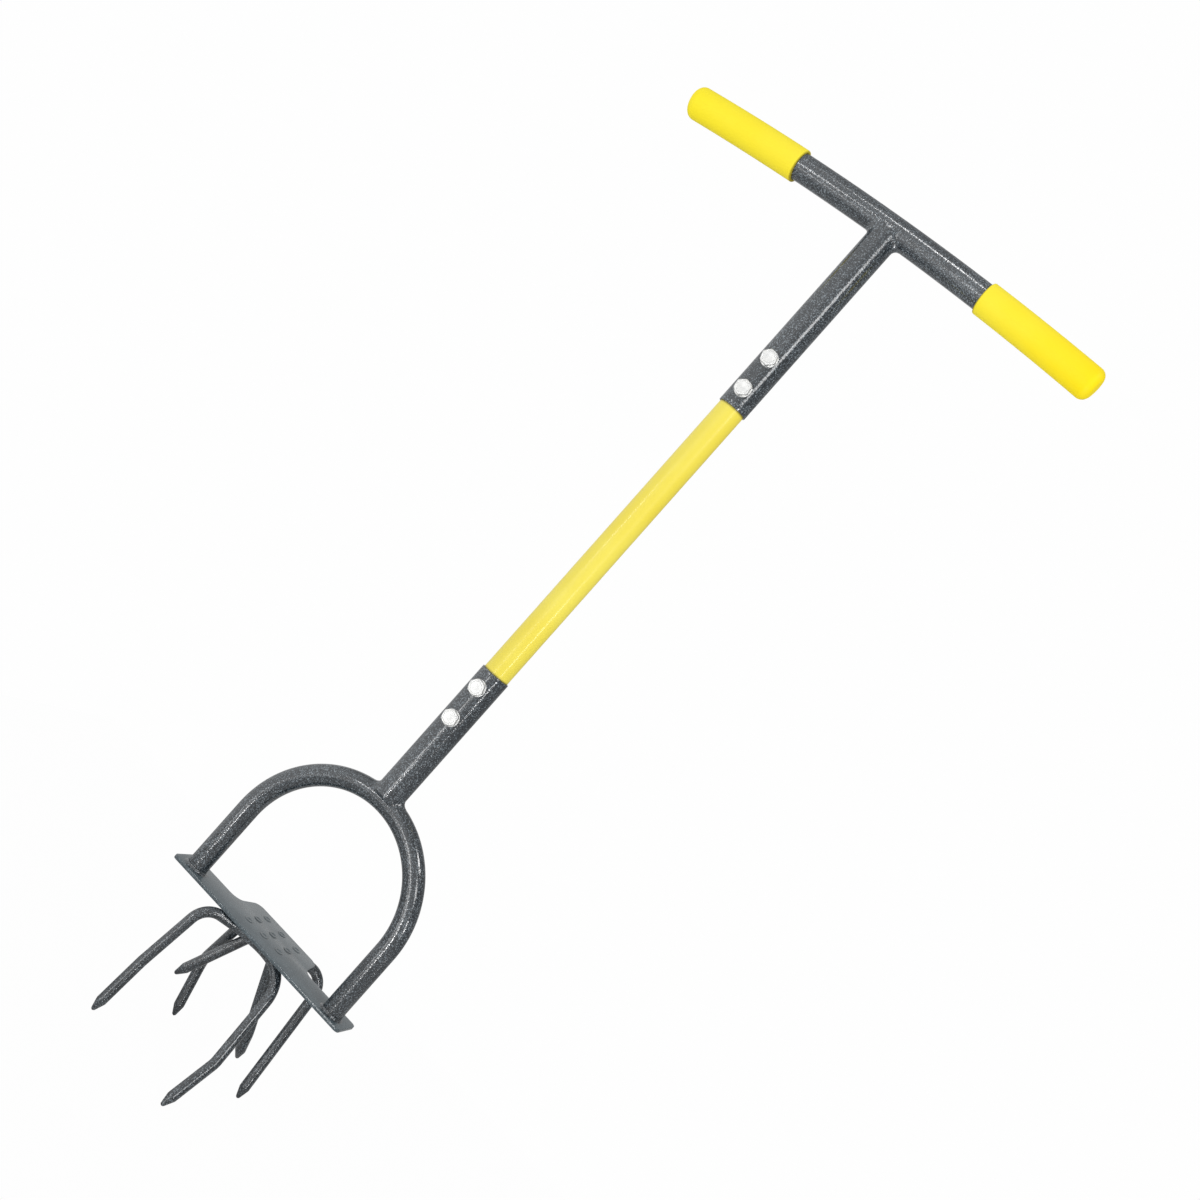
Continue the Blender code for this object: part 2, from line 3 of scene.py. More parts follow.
import bmesh
import bpy
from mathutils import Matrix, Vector


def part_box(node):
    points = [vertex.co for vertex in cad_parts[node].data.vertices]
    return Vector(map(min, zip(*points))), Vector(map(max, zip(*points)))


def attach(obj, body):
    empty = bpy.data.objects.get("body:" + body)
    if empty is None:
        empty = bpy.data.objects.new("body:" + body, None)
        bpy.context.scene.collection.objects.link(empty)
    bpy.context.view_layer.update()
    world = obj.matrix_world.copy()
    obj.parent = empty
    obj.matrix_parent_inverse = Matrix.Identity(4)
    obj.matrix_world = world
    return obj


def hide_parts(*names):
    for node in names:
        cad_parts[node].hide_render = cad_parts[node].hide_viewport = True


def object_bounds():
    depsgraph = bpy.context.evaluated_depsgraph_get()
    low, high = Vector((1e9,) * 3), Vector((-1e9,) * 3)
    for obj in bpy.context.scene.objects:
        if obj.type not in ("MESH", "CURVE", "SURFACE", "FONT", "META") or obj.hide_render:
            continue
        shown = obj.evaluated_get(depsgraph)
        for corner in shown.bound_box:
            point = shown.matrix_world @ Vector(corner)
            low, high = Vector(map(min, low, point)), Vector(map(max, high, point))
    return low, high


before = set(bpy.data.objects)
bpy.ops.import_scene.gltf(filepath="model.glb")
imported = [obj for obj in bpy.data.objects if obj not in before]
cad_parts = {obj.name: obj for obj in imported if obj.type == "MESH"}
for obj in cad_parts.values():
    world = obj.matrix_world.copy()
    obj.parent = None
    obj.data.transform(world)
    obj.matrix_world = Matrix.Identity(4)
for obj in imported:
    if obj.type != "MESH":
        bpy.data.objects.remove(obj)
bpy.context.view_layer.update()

tau = 2 * math.pi
mm = 0.001


# One socket of a node tree. Sums on it add Math nodes.
class Wire:
    def __init__(self, graph, socket):
        self.graph = graph
        self.socket = socket

    def maths(self, operation, *values):
        return self.graph.node("ShaderNodeMath", {"operation": operation}, dict(enumerate(values)))

    def __add__(self, other):
        return self.maths("ADD", self, other)

    def __sub__(self, other):
        return self.maths("SUBTRACT", self, other)

    def __mul__(self, other):
        return self.maths("MULTIPLY", self, other)

    def __truediv__(self, other):
        return self.maths("DIVIDE", self, other)

    def __pow__(self, other):
        return self.maths("POWER", self, other)

    def __rsub__(self, other):
        return self.maths("SUBTRACT", other, self)

    __radd__ = __add__
    __rmul__ = __mul__


# A shader or geometry tree, with one method that adds any node
class Graph:
    def __init__(self, tree):
        self.tree = tree

    def node(self, kind, settings=None, sockets=None, output=0):
        made = self.tree.nodes.new(kind)
        for key, value in (settings or {}).items():
            if key == "stops":
                self.setStops(made.color_ramp, value)
            else:
                setattr(made, key, value)
        for key, value in (sockets or {}).items():
            for each in value if isinstance(value, list) else [value]:
                if isinstance(each, Wire):
                    self.tree.links.new(each.socket, made.inputs[key])
                else:
                    made.inputs[key].default_value = each
        return Wire(self, made.outputs[output]) if made.outputs else made

    def setStops(self, ramp, stops):
        while len(ramp.elements) < len(stops):
            ramp.elements.new(0.5)
        for element, (place, color) in zip(ramp.elements, stops):
            element.position = place
            element.color = (*color, 1)

    def mixColor(self, share, first, second):
        colors = [each if isinstance(each, Wire) else (*each, 1) for each in (first, second)]
        return self.node("ShaderNodeMix", {"data_type": "RGBA"}, {0: share, 6: colors[0], 7: colors[1]}, 2)

    def part(self, vector, axis):
        return self.node("ShaderNodeSeparateXYZ", {}, {0: vector}, axis)

    def noise(self, place, scale, detail=2, roughness=0.55):
        return self.node("ShaderNodeTexNoise", {}, {
            "Vector": place, "Scale": scale, "Detail": detail, "Roughness": roughness})

    def span(self, value, low, high, toLow=0, toHigh=1):
        return self.node("ShaderNodeMapRange", {"clamp": True}, {
            0: value, 1: low, 2: high, 3: toLow, 4: toHigh})


def newFinish(name):
    material = bpy.data.materials.new(name)
    material.use_nodes = True
    material.node_tree.nodes.clear()
    graph = Graph(material.node_tree)
    place = graph.node("ShaderNodeTexCoord", {}, {}, "Object")
    return material, graph, place


def closeFinish(graph, sockets, height, distance):
    bump = graph.node("ShaderNodeBump", {}, {"Strength": 1, "Distance": distance, "Height": height})
    shader = graph.node("ShaderNodeBsdfPrincipled", {}, {**sockets, "Normal": bump})
    graph.node("ShaderNodeOutputMaterial", {}, {"Surface": shader})


# Hammered slate paint: shallow domes under gloss, dark in the valleys, with fine pale and dark grain
slatePaint = {
    "dark": (0.003, 0.006, 0.009), "mid": (0.022, 0.030, 0.038), "pale": (0.21, 0.245, 0.27),
    "toneStops": (0.28, 0.46, 0.56, 0.80), "grainScale": 1000, "grainShare": 2.2, "grainBump": 0.03 * mm,
    "cloudScale": 28, "cloudShare": 0.35, "domeScale": 620, "domeShare": 0.35, "dome": 0.06 * mm,
    "fleckScale": 1700, "roughness": 0.1, "roughRange": 0.12, "ior": 1.9}


def slateGrain(graph, place, look):
    grain = graph.noise(place, look["grainScale"], 2, 0.6)
    clouds = graph.noise(place, look["cloudScale"], 3)
    domes = graph.node("ShaderNodeTexVoronoi", {"feature": "SMOOTH_F1"}, {
        "Vector": place, "Scale": look["domeScale"], "Smoothness": 0.5})
    tone = (grain - 0.5) * look["grainShare"] + (clouds - 0.5) * look["cloudShare"]
    tone = tone - (domes - 0.35) * look["domeShare"] + 0.5  # a dome's value is 0.35 on average
    return grain, domes, tone


def paintTone(graph, look, tone):
    colors = [look["dark"], look["mid"], look["mid"], look["pale"]]
    return graph.node("ShaderNodeValToRGB", {"stops": list(zip(look["toneStops"], colors))}, {0: tone})


def makeSlate(name, look):
    material, graph, place = newFinish(name)
    grain, domes, tone = slateGrain(graph, place, look)
    flecks = graph.noise(place, look["fleckScale"], 1)
    height = grain * (look["grainBump"] / look["dome"]) - domes
    closeFinish(graph, {
        "Base Color": paintTone(graph, look, tone),
        "Roughness": flecks * look["roughRange"] + look["roughness"], "IOR": look["ior"],
    }, height, look["dome"])
    return material


slate = makeSlate("hammeredSlate", slatePaint)
# The welds are a little paler and coarser
weldSlate = makeSlate("weldSlate", {
    **slatePaint, "mid": (0.032, 0.042, 0.051), "domeScale": 420, "dome": 0.11 * mm, "roughness": 0.15})

# Foot plate: the same paint, grainy on its edges and smoother on top. Its upward faces are painted paler than
# the sides, in random paler patches, partly as painted light for the light the plate lacks in the arch's shade,
# with painted shade round the pressed marks
treadPaint = {
    "top": (0.092, 0.124, 0.141), "topPale": (0.121, 0.161, 0.181), "markShade": (0.020, 0.024, 0.026),
    "markInner": 2.1 * mm, "markOuter": 4.3 * mm, "shadeLineWidth": 0.7 * mm, "markShadeShare": 0.5, "middleShadeShare": 0.35,
    "edgeShare": 0.75, "paintShare": 0.3, "wearScale": 60, "wearSpan": (0.35, 0.65), "flatSpan": (0.5, 0.9),
    "smoothShare": 0.85, "roughness": 0.13, "topRoughness": 0.14, "ior": 1.7}
treadMarks = {"centre": (-3.6 * mm, 25.8 * mm), "pitch": (18.5 * mm, 17.2 * mm), "rows": 3}


def makeTread():
    material, graph, place = newFinish("treadGrey")
    grain, domes, tone = slateGrain(graph, place, slatePaint)
    sides = paintTone(graph, slatePaint, tone)
    wear = graph.noise(place, treadPaint["wearScale"], 4, 0.6)
    top = graph.mixColor(graph.span(wear, *treadPaint["wearSpan"]), treadPaint["top"], treadPaint["topPale"])
    top = graph.mixColor(treadPaint["paintShare"], top, sides)
    offsets = []  # from the nearest mark, along X and Y
    inGrid = 1.0
    for axis in (0, 1):
        along = graph.part(place, axis) - treadMarks["centre"][axis]
        steps = along / treadMarks["pitch"][axis]
        row = steps.maths("ROUND", steps)
        offsets.append((steps - row) * treadMarks["pitch"][axis])
        inGrid = row.maths("LESS_THAN", row.maths("ABSOLUTE", row), treadMarks["rows"] / 2) * inGrid
    reach = (offsets[0] * offsets[0] + offsets[1] * offsets[1]) ** 0.5
    # Painted shade: a dark line round each mark's raised rim, as its contact shadow, and fainter painted shade
    # in its middle cup
    line = treadPaint["shadeLineWidth"]
    outer = graph.span(reach, treadPaint["markOuter"] - line * 1.5, treadPaint["markOuter"] - line * 0.5)
    outer = outer * graph.span(reach, treadPaint["markOuter"], treadPaint["markOuter"] + line, 1, 0)
    inner = graph.span(reach, treadPaint["markInner"] - line, treadPaint["markInner"], 1, 0)
    markShade = outer.maths("MAXIMUM", outer, inner * treadPaint["middleShadeShare"]) * inGrid
    # Upward faces take the paler top colour and the edges keep the slate tone: the top's paleness is partly
    # painted light
    normal = graph.node("ShaderNodeTexCoord", {}, {}, "Normal")
    upright = graph.part(normal, 2)
    flat = graph.span(upright.maths("ABSOLUTE", upright), *treadPaint["flatSpan"])
    edge = graph.mixColor(treadPaint["edgeShare"], sides, top)
    # The marks' painted shade darkens the top colour
    top = graph.mixColor(markShade * treadPaint["markShadeShare"], top, treadPaint["markShade"])
    height = grain * (slatePaint["grainBump"] / slatePaint["dome"]) - domes
    height = height * (1 - flat * treadPaint["smoothShare"])
    closeFinish(graph, {
        "Base Color": graph.mixColor(flat, edge, top),
        "Roughness": flat * treadPaint["topRoughness"] + treadPaint["roughness"], "IOR": treadPaint["ior"],
    }, height, slatePaint["dome"])
    return material


tread = makeTread()

# Dipped vinyl on the grips: bright yellow, a faint skin, and painted shade in the last millimetre at the mouth,
# where the gap round the crossbar lies in shadow
gripMouth = 96.2 * mm
gripVinyl = {"deep": (0.92, 0.72, 0.001), "bright": (0.905, 0.765, 0.018), "pale": (0.90, 0.765, 0.040),
             "paleSpan": (-0.10, -0.20), "deepSpan": (0.13, 0.22), "deepShift": 0.03, "cloudScale": 26,
             "cloudSpan": (0.3, 0.7), "cloudShare": 0.35, "mouthShade": (0.26, 0.20, 0.012), "mouthShadeWidth": 1.1 * mm,
             "mouthShadeShare": 0.8, "skinScale": 900, "skin": 0.05 * mm, "roughness": 0.48, "roughRange": 0.15,
             "ior": 1.33}


def makeGripYellow():
    material, graph, place = newFinish("gripYellow")
    clouds = graph.noise(place, gripVinyl["cloudScale"], 3)
    skin = graph.noise(place, gripVinyl["skinScale"], 2)
    across = graph.part(place, 0)
    # Palest at the left mouth, and deepest towards the right end
    bright = graph.span(across, *gripVinyl["paleSpan"])
    deep = graph.span(across + clouds * gripVinyl["deepShift"], *gripVinyl["deepSpan"])
    clouded = graph.span(clouds, *gripVinyl["cloudSpan"], 0, gripVinyl["cloudShare"])
    color = graph.mixColor(bright, gripVinyl["pale"], gripVinyl["bright"])
    color = graph.mixColor(deep, color, gripVinyl["deep"])
    color = graph.mixColor(clouded, color, gripVinyl["deep"])
    # Painted shade: the vinyl darkens towards the mouth, standing in for the shadow in the gap round the
    # crossbar
    fromMouth = across.maths("ABSOLUTE", across) - gripMouth
    mouthShade = graph.span(fromMouth, 0, gripVinyl["mouthShadeWidth"], gripVinyl["mouthShadeShare"], 0)
    closeFinish(graph, {
        "Base Color": graph.mixColor(mouthShade, color, gripVinyl["mouthShade"]),
        "Roughness": skin * gripVinyl["roughRange"] + gripVinyl["roughness"], "IOR": gripVinyl["ior"],
    }, skin, gripVinyl["skin"])
    return material


gripYellow = makeGripYellow()

# Gloss coat on the middle tube: paler yellow with slight orange peel, and painted shade at the socket mouths,
# where the sockets shadow it
tubeCoat = {"pale": (0.825, 0.708, 0.084), "warm": (0.805, 0.665, 0.054), "mouthShade": (0.20, 0.16, 0.015),
            "mouthShadeWidth": 1.8 * mm, "mouthShadeShare": 0.85, "cloudScale": 18, "cloudSpan": (0.35, 0.65),
            "peelScale": 320, "peel": 0.035 * mm, "speckScale": 1500, "roughness": 0.36, "roughRange": 0.08,
            "ior": 1.48, "gloss": 0.4, "glossRoughness": 0.16}


def makeTubeYellow():
    material, graph, place = newFinish("tubeYellow")
    clouds = graph.noise(place, tubeCoat["cloudScale"], 2)
    peel = graph.noise(place, tubeCoat["peelScale"], 1)
    specks = graph.noise(place, tubeCoat["speckScale"], 0)
    height = graph.part(place, 2)
    color = graph.mixColor(graph.span(clouds, *tubeCoat["cloudSpan"]), tubeCoat["pale"], tubeCoat["warm"])
    # Painted shade: the coat darkens in the last millimetres before each socket mouth, standing in for the
    # shadow where the tube enters
    low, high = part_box("lower_socket")[1].z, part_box("upper_socket")[0].z
    toMouth = height.maths("MINIMUM", height - low, high - height)
    mouthShade = graph.span(toMouth, 0, tubeCoat["mouthShadeWidth"], tubeCoat["mouthShadeShare"], 0)
    closeFinish(graph, {
        "Base Color": graph.mixColor(mouthShade, color, tubeCoat["mouthShade"]),
        "Roughness": specks * tubeCoat["roughRange"] + tubeCoat["roughness"], "IOR": tubeCoat["ior"],
        "Coat Weight": tubeCoat["gloss"], "Coat Roughness": tubeCoat["glossRoughness"],
    }, peel, tubeCoat["peel"])
    return material


tubeYellow = makeTubeYellow()

# Bright zinc plating on the bolts and nuts
zincPlating = {"bright": (0.80, 0.80, 0.785), "dull": (0.73, 0.735, 0.73), "cloudScale": 240,
               "cloudSpan": (0.35, 0.65), "streakScale": 1600, "grain": 0.004 * mm, "roughness": 0.42,
               "roughRange": 0.12}


def makeZinc():
    material, graph, place = newFinish("zincPlate")
    clouds = graph.noise(place, zincPlating["cloudScale"], 3)
    streaks = graph.noise(place, zincPlating["streakScale"], 2)
    shine = graph.span(clouds, *zincPlating["cloudSpan"])
    color = graph.mixColor(shine, zincPlating["dull"], zincPlating["bright"])
    closeFinish(graph, {
        "Base Color": color, "Roughness": streaks * zincPlating["roughRange"] + zincPlating["roughness"],
        "Metallic": 1,
    }, streaks, zincPlating["grain"])
    return material


zinc = makeZinc()
print("finishes made")


def addPiece(name, mesh, *materials):
    piece = bpy.data.objects.new(name, mesh)
    bpy.context.scene.collection.objects.link(piece)
    for material in materials:
        mesh.materials.append(material)
    return piece


sameSpot = 0.002 * mm  # points nearer than this are merged


# Smooths a mesh, turns its faces outward, hangs it under the root body and hides the CAD nodes it stands in for
def settle(piece, slotName, *nodes, sharpAngle=32):
    shape = bmesh.new()
    shape.from_mesh(piece.data)
    bmesh.ops.remove_doubles(shape, verts=shape.verts, dist=sameSpot)
    bmesh.ops.recalc_face_normals(shape, faces=shape.faces)
    shape.to_mesh(piece.data)
    shape.free()
    piece.data.shade_smooth()
    piece.data.set_sharp_from_angle(angle=math.radians(sharpAngle))
    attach(piece, "root")
    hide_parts(*nodes)
    return piece


# Skins rings of points. A ring of one point closes an end, and a closed loft joins back to its first ring.
def loft(name, rings, material, closed=False):
    shape = bmesh.new()
    rows = [[shape.verts.new(point) for point in ring] for ring in rings]
    pairs = list(zip(rows, rows[1:])) + ([(rows[-1], rows[0])] if closed else [])
    for near, far in pairs:
        for i in range(max(len(near), len(far))):
            j = i + 1
            corners = [near[i % len(near)], near[j % len(near)], far[j % len(far)], far[i % len(far)]]
            corners = [corner for k, corner in enumerate(corners) if corner not in corners[:k]]
            shape.faces.new(corners)
    mesh = bpy.data.meshes.new(name)
    shape.to_mesh(mesh)
    shape.free()
    return addPiece(name, mesh, material)


def spaced(start, end, count):
    return [start + (end - start) * i / count for i in range(count + 1)]


def ringAngles(sides):
    return [tau * i / sides for i in range(sides)]


# A ring about Z, or one point where the radius is nothing
def ringAt(radius, height, sides, place=Vector):
    if radius == 0:
        return [place((0, 0, height))]
    return [place((radius * math.cos(a), radius * math.sin(a), height)) for a in ringAngles(sides)]


# A quarter round from one (radius, height) point to another, bulging to the corner
def quarterRound(start, end, corner, steps=6):
    points = []
    for i in range(steps + 1):
        angle = math.pi / 2 * i / steps
        fromStart, fromEnd = 1 - math.sin(angle), 1 - math.cos(angle)
        points.append(tuple(
            c + (s - c) * fromStart + (e - c) * fromEnd for s, e, c in zip(start, end, corner)))
    return points


# An open path mesh that the sweeps follow
def addPath(name, points, loop=False):
    mesh = bpy.data.meshes.new(name)
    edges = [(i, i + 1) for i in range(len(points) - 1)] + ([(len(points) - 1, 0)] if loop else [])
    mesh.from_pydata(points, edges, [])
    return addPiece(name, mesh)


def openShapeTree(name, inputs):
    tree = bpy.data.node_groups.new(name, "GeometryNodeTree")
    tree.interface.new_socket("Geometry", in_out="OUTPUT", socket_type="NodeSocketGeometry")
    for label, kind in {"Geometry": "Geometry", "Finish": "Material", **inputs}.items():
        tree.interface.new_socket(label, in_out="INPUT", socket_type="NodeSocket" + kind)
    graph = Graph(tree)
    entry = tree.nodes.new("NodeGroupInput")
    return graph, {socket.name: Wire(graph, socket) for socket in entry.outputs if socket.name}


def closeShapeTree(graph, shape, given):
    solid = graph.node("GeometryNodeRealizeInstances", {}, {0: shape})
    painted = graph.node("GeometryNodeSetMaterial", {}, {"Geometry": solid, "Material": given["Finish"]})
    graph.node("NodeGroupOutput", {}, {0: painted})
    return graph.tree


# Runs a shape tree on a source object and keeps the result as a plain mesh of that name
def grow(name, source, tree, values):
    modifier = source.modifiers.new("grow", "NODES")
    modifier.node_group = tree
    for item in tree.interface.items_tree:
        if item.in_out == "INPUT" and item.name in values:
            modifier[item.identifier] = values[item.name]
    depsgraph = bpy.context.evaluated_depsgraph_get()
    mesh = bpy.data.meshes.new_from_object(source.evaluated_get(depsgraph), depsgraph=depsgraph)
    mesh.name = name
    bpy.data.objects.remove(source)
    return addPiece(name, mesh)


# Round bar along a path. Both ends are ground to a cone over the point length, and end in a small round nib.
def makeBarTree():
    graph, given = openShapeTree("roundBar", {
        "Radius": "Float", "Step": "Float", "Sides": "Int", "Point Length": "Float", "Nib Share": "Float",
        "Nib Length": "Float"})
    line = graph.node("GeometryNodeMeshToCurve", {}, {0: given["Geometry"]})
    line = graph.node("GeometryNodeResampleCurve", {"mode": "LENGTH"}, {"Curve": line, "Length": given["Step"]})
    along = graph.node("GeometryNodeSplineParameter", {}, {}, "Length")
    whole = graph.node("GeometryNodeSplineLength", {}, {}, "Length")
    fromEnd = along.maths("MINIMUM", along, whole - along)
    cone = along.maths("MINIMUM", fromEnd / given["Point Length"], 1.0)
    cone = given["Nib Share"] + (1 - given["Nib Share"]) * cone
    short = 1 - along.maths("MINIMUM", fromEnd / given["Nib Length"], 1.0)
    nib = (1 - short * short) ** 0.5
    size = cone * nib.maths("MAXIMUM", nib, 0.02)  # the end ring keeps a little size, so that its cap closes
    ring = graph.node("GeometryNodeCurvePrimitiveCircle", {}, {
        "Resolution": given["Sides"], "Radius": given["Radius"]})
    bar = graph.node("GeometryNodeCurveToMesh", {}, {
        "Curve": line, "Profile Curve": ring, "Scale": size, "Fill Caps": True})
    return closeShapeTree(graph, bar, given)


# Weld bead along a path: one small scallop for each dab of the torch, with a little wander
def makeWeldTree():
    graph, given = openShapeTree("weldBead", {
        "Radius": "Float", "Dab": "Float", "Dab Depth": "Float", "Wander": "Float", "End Length": "Float",
        "Sides": "Int", "Seed": "Float"})
    line = graph.node("GeometryNodeMeshToCurve", {}, {0: given["Geometry"]})
    line = graph.node("GeometryNodeResampleCurve", {"mode": "LENGTH"}, {
        "Curve": line, "Length": given["Dab"] / 8})
    along = graph.node("GeometryNodeSplineParameter", {}, {}, "Length")
    whole = graph.node("GeometryNodeSplineLength", {}, {}, "Length")
    dabs = along / given["Dab"]
    dab = along.maths("SINE", dabs.maths("FRACT", dabs) * math.pi)
    scallop = 1 - given["Dab Depth"] * (1 - dab ** 0.6)
    place = graph.node("GeometryNodeInputPosition", {}, {})
    # The wander's swells are about 4 mm long
    wander = graph.node("ShaderNodeTexNoise", {"noise_dimensions": "4D"}, {
        "Vector": place, "W": given["Seed"], "Scale": 260, "Detail": 1})
    fromEnd = along.maths("MINIMUM", along, whole - along)
    end = along.maths("MINIMUM", fromEnd / given["End Length"], 1.0)
    end = end.maths("MAXIMUM", end, 0.01) ** 0.5  # as in the bar, so that the cap closes
    size = scallop * (1 + (wander - 0.5) * given["Wander"]) * end
    ring = graph.node("GeometryNodeCurvePrimitiveCircle", {}, {
        "Resolution": given["Sides"], "Radius": given["Radius"]})
    bead = graph.node("GeometryNodeCurveToMesh", {}, {
        "Curve": line, "Profile Curve": ring, "Scale": size, "Fill Caps": True})
    return closeShapeTree(graph, bead, given)


barTree = makeBarTree()
weldTree = makeWeldTree()

# Crossbar: one tube on a very wide arc, highest over the stem
crossbar = {"radius": 12 * mm, "wall": 1.6 * mm, "length": 414 * mm, "bowRadius": 2560 * mm, "sides": 80,
            "steps": 90}
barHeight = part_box("crossbar")[1].z - crossbar["radius"]


# A point of a straight bar (across, up, along) carried onto the bowed one. Side -1 runs the other way.
def ontoBow(point, side=1):
    across, up, along = point
    angle = along * side / crossbar["bowRadius"]
    reach = crossbar["bowRadius"] + up
    centre = barHeight - crossbar["bowRadius"]
    return Vector((reach * math.sin(angle), across, centre + reach * math.cos(angle)))


def makeCrossbar():
    stations = spaced(-crossbar["length"] / 2, crossbar["length"] / 2, crossbar["steps"])
    inner = crossbar["radius"] - crossbar["wall"]
    profile = [(crossbar["radius"], z) for z in stations] + [(inner, z) for z in reversed(stations)]
    rings = [ringAt(r, z, crossbar["sides"], ontoBow) for r, z in profile]
    settle(loft("crossbarTube", rings, slate, closed=True), "slate_paint", "crossbar")


makeCrossbar()

# Grips: closed soft sleeves, round at the outer end and with a small lip at the mouth
grip = {"radius": 14.5 * mm, "bore": 12.3 * mm, "floor": 207.3 * mm, "endWall": 3.5 * mm,
        "endRound": 7.5 * mm, "mouthRound": 1.2 * mm, "sides": 96, "discSpan": (0.25, 0.92), "discSteps": 4,
        "roundSteps": 14, "bodySteps": 36, "boreSteps": 30}


def makeGrip(name, side, node):
    end = grip["floor"] + grip["endWall"]
    outer = grip["radius"]
    flat = outer - grip["endRound"]
    lip = outer - grip["mouthRound"]
    bodyEnds = end - grip["endRound"], gripMouth + grip["mouthRound"]
    profile = [(0, end)] + [(flat * share, end) for share in spaced(*grip["discSpan"], grip["discSteps"])]
    profile += quarterRound((flat, end), (outer, bodyEnds[0]), (outer, end), grip["roundSteps"])
    profile += [(outer, z) for z in spaced(*bodyEnds, grip["bodySteps"])[1:]]
    profile += quarterRound((outer, bodyEnds[1]), (lip, gripMouth), (outer, gripMouth))[1:]
    profile += [(grip["bore"], z) for z in spaced(gripMouth, grip["floor"], grip["boreSteps"])]
    profile += [(0, grip["floor"])]
    rings = [ringAt(r, z, grip["sides"], lambda point: ontoBow(point, side)) for r, z in profile]
    settle(loft(name, rings, gripYellow), "yellow_grip", node)


makeGrip("leftGripSleeve", -1, "left_grip")
makeGrip("rightGripSleeve", 1, "right_grip")
print("crossbar and grips made")

# Stem: two sockets, coped round the tube they meet, on one coated tube
stem = {"socketRadius": 13.3 * mm, "socketWall": 1.0 * mm, "mouthRound": 0.3 * mm, "copeRise": 5 * mm,
        "copeGap": 0.2 * mm, "tubeRadius": 12 * mm, "tubeWall": 1.4 * mm, "sides": 96, "outerSteps": 40,
        "innerSteps": 12, "tubeSteps": 60}
arch = {"radius": 9.3 * mm, "bend": 84 * mm, "foot": 0.6 * mm, "sides": 64, "step": 2.2 * mm, "bendSteps": 120}
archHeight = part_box("arch")[1].z - arch["radius"]
# Each joint: the height of the tube's axis, its radius, the radius of its bend, and +1 where it lies above
# the socket
joints = {
    "handle": {"height": barHeight, "radius": crossbar["radius"], "bend": crossbar["bowRadius"], "way": 1},
    "archTop": {"height": archHeight, "radius": arch["radius"], "bend": arch["bend"], "way": -1}}


# Height of the joined tube's skin over a point of the socket, no further round than the cope reaches
def copeHeight(joint, across, out):
    rise = max(math.sqrt(max(joint["radius"] ** 2 - out ** 2, 0)), stem["copeRise"])
    reach = joint["bend"] - joint["way"] * (rise + stem["copeGap"])
    return joint["height"] - joint["bend"] + math.sqrt(reach ** 2 - across ** 2)


def makeSocket(name, mouth, joint, node):
    way = joint["way"]
    outer = stem["socketRadius"]
    inner = outer - stem["socketWall"]
    small = stem["mouthRound"]
    angles = ringAngles(stem["sides"])

    def coped(radius):
        spots = [(radius * math.cos(a), radius * math.sin(a)) for a in angles]
        return [Vector((x, y, copeHeight(joint, x, y))) for x, y in spots]

    def lerp(low, high, share):
        return [p + (q - p) * share for p, q in zip(low, high)]

    top = coped(outer)
    foot = ringAt(outer, mouth + way * small, stem["sides"])
    rings = [lerp(foot, top, share) for share in spaced(0, 1, stem["outerSteps"])]
    topIn = coped(inner)
    footIn = ringAt(inner, mouth + way * small * 0.5, stem["sides"])
    rings += [lerp(topIn, footIn, share) for share in spaced(0, 1, stem["innerSteps"])]
    # The mouth's face and its rounded edge
    rings.append(ringAt(inner + small * 0.5, mouth, stem["sides"]))
    rings.append(ringAt(outer - small, mouth, stem["sides"]))
    rings.append(ringAt(outer - small * 0.3, mouth + way * small * 0.3, stem["sides"]))
    settle(loft(name, rings, slate, closed=True), "slate_paint", node)


makeSocket("upperSocketTube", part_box("upper_socket")[0].z, joints["handle"], "upper_socket")
makeSocket("lowerSocketTube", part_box("lower_socket")[1].z, joints["archTop"], "lower_socket")


def makeMiddleTube():
    low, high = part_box("middle_tube")
    stations = spaced(low.z, high.z, stem["tubeSteps"])
    inner = stem["tubeRadius"] - stem["tubeWall"]
    profile = [(stem["tubeRadius"], z) for z in stations] + [(inner, z) for z in reversed(stations)]
    rings = [ringAt(r, z, stem["sides"]) for r, z in profile]
    settle(loft("middleTubeCoated", rings, tubeYellow, closed=True), "yellow_coat", "middle_tube")


makeMiddleTube()


# Arch: straight legs and a half circle, one tube
def makeArch():
    bend = arch["bend"]
    rise = archHeight - bend
    points = [Vector((-bend, 0, arch["foot"]))]
    for angle in spaced(math.pi, 0, arch["bendSteps"]):
        points.append(Vector((bend * math.cos(angle), 0, rise + bend * math.sin(angle))))
    points.append(Vector((bend, 0, arch["foot"])))
    noPoint = 0.0001 * mm  # its ends are cut off square
    tube = grow("archTube", addPath("archPath", points), barTree, {
        "Finish": slate, "Radius": arch["radius"], "Step": arch["step"], "Sides": arch["sides"],
        "Point Length": noPoint, "Nib Share": 1.0, "Nib Length": noPoint})
    settle(tube, "slate_paint", "arch")


makeArch()
print("stem and arch made")

# Hexagon bolts from the front and nuts behind, both turned as they came to rest when tightened
fastener = {"flats": 13 * mm, "head": 5.3 * mm, "nut": 6.5 * mm, "shank": 4 * mm, "stickout": 3.5 * mm,
            "seat": 13.6 * mm, "pitch": 1.25 * mm, "chamferCircle": 6.4 * mm, "chamferAngle": 30,
            "corner": 7.2 * mm, "rimRound": 0.2 * mm, "rimSteps": 4, "rimDrop": 0.25 * mm,
            "flange": 7.45 * mm, "flangeTop": 1.5 * mm, "neck": 2 * mm, "core": 3.55 * mm,
            "tipLength": 0.6 * mm, "tipIn": 0.5 * mm, "boreGap": 0.1 * mm, "boreChamfer": 0.6 * mm, "sides": 96}
